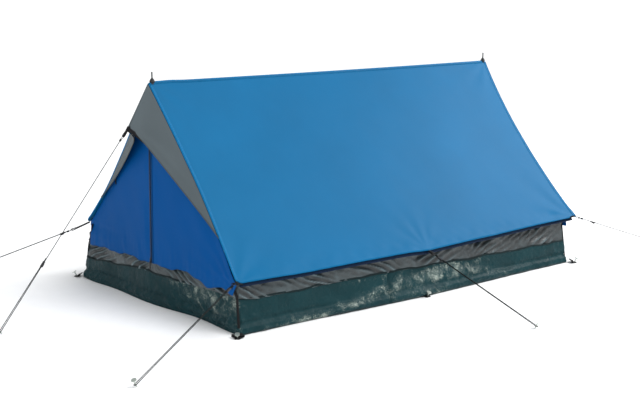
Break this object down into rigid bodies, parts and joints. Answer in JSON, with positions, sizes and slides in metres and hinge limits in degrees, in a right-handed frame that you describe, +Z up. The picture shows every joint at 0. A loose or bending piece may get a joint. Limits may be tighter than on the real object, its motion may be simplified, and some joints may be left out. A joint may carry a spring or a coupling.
{
  "type": "ridge tent",
  "caption": "Low ridge tent for two: blue roof on upright poles, grey awning over a zipped door, mesh strip, dark tub floor, guy lines and pegs.",
  "frame": {"origin": "middle of the groundsheet's underside, on the ground", "axes": "+Z up, -Y out of the door, +X to the right of someone who looks along +Y into the door"},
  "size_m": [2.1504, 3.3884, 0.9898],
  "materials": {
    "roof_cloth": "coated polyester taffeta, mid blue",
    "door_cloth": "coated polyester taffeta, darker blue",
    "awning_cloth": "coated polyester taffeta, grey",
    "mesh_cloth": "fine ventilation mesh, dark grey",
    "tub_sheet": "laminated polyethylene sheet, dark green, shiny",
    "webbing": "black woven webbing",
    "rope": "black braided cord",
    "black_plastic": "moulded black nylon",
    "zip_track": "nylon coil on woven tape, dark blue",
    "zip_metal": "black painted zinc",
    "pole_steel": "zinc plated steel tube",
    "black_rubber": "moulded black rubber",
    "eyelet_brass": "rolled brass",
    "peg_steel": "plated steel wire"
  },
  "bodies": {
    "tent": {"awning_left": "awning_cloth", "awning_right": "awning_cloth", "awning_tip_band": "webbing", "door_toggles": "black_plastic", "eave_hem_left": "roof_cloth", "eave_hem_right": "roof_cloth", "front_panel_left": "door_cloth", "front_panel_right": "door_cloth", "ground_loops": "webbing", "ground_pegs": "peg_steel", "groundsheet": "tub_sheet", "guy_pegs": "peg_steel", "guy_rings": "black_plastic", "guy_rope_awning": "rope", "guy_rope_front_left": "rope", "guy_rope_front_right": "rope", "guy_rope_rear_right": "rope", "guy_rope_side_right": "rope", "guy_tabs": "webbing", "mesh_strip_front": "mesh_cloth", "mesh_strip_left": "mesh_cloth", "mesh_strip_rear": "mesh_cloth", "mesh_strip_right": "mesh_cloth", "pole_front_foot": "black_rubber", "pole_front_lower": "pole_steel", "pole_front_middle": "pole_steel", "pole_front_spike": "pole_steel", "pole_front_upper": "pole_steel", "pole_rear_foot": "black_rubber", "pole_rear_lower": "pole_steel", "pole_rear_middle": "pole_steel", "pole_rear_spike": "pole_steel", "pole_rear_upper": "pole_steel", "rear_wall": "door_cloth", "ridge_cap_front": "black_rubber", "ridge_cap_rear": "black_rubber", "ridge_eyelet_front": "eyelet_brass", "ridge_eyelet_rear": "eyelet_brass", "ridge_tape": "roof_cloth", "roof_left": "roof_cloth", "roof_right": "roof_cloth", "toggle_loops": "webbing", "tub_wall_front": "tub_sheet", "tub_wall_left": "tub_sheet", "tub_wall_rear": "tub_sheet", "tub_wall_right": "tub_sheet"},
    "door_leaf_left": {"door_leaf_left": "door_cloth", "zip_tape_left": "zip_track"},
    "door_leaf_right": {"door_leaf_right": "door_cloth", "zip_tape_right": "zip_track"},
    "zip_runner": {"zip_slider": "zip_metal", "zip_pull": "zip_metal"},
    "slider_awning": {"line_slider_awning": "black_plastic"},
    "slider_front_left": {"line_slider_front_left": "black_plastic"},
    "slider_front_right": {"line_slider_front_right": "black_plastic"},
    "slider_side_right": {"line_slider_side_right": "black_plastic"},
    "slider_rear_right": {"line_slider_rear_right": "black_plastic"}
  },
  "joints": [
    {"name": "door_right_swing", "type": "hinge", "parent": "tent", "child": "door_leaf_right", "pos_m": [0.006, -1.01275, 0.85], "axis": [-0.6115, 0, 0.7912], "range_deg": [0, 40]},
    {"name": "door_left_swing", "type": "hinge", "parent": "tent", "child": "door_leaf_left", "pos_m": [-0.006, -1.01275, 0.85], "axis": [-0.6115, 0, -0.7912], "range_deg": [0, 40]},
    {"name": "zip_travel", "type": "slide", "parent": "door_leaf_left", "child": "zip_runner", "axis": [0, 0, 1], "range_m": [0, 0.6]},
    {"name": "slider_awning_travel", "type": "slide", "parent": "tent", "child": "slider_awning", "axis": [0, -0.622, -0.783], "range_m": [0, 0.06]},
    {"name": "slider_front_left_travel", "type": "slide", "parent": "tent", "child": "slider_front_left", "axis": [-0.3502, -0.8819, -0.3157], "range_m": [0, 0.06]},
    {"name": "slider_front_right_travel", "type": "slide", "parent": "tent", "child": "slider_front_right", "axis": [0.3502, -0.8819, -0.3157], "range_m": [0, 0.06]},
    {"name": "slider_side_right_travel", "type": "slide", "parent": "tent", "child": "slider_side_right", "axis": [0.9527, 0, -0.3038], "range_m": [0, 0.06]},
    {"name": "slider_rear_right_travel", "type": "slide", "parent": "tent", "child": "slider_rear_right", "axis": [0.3502, 0.8819, -0.3157], "range_m": [0, 0.06]}
  ]
}
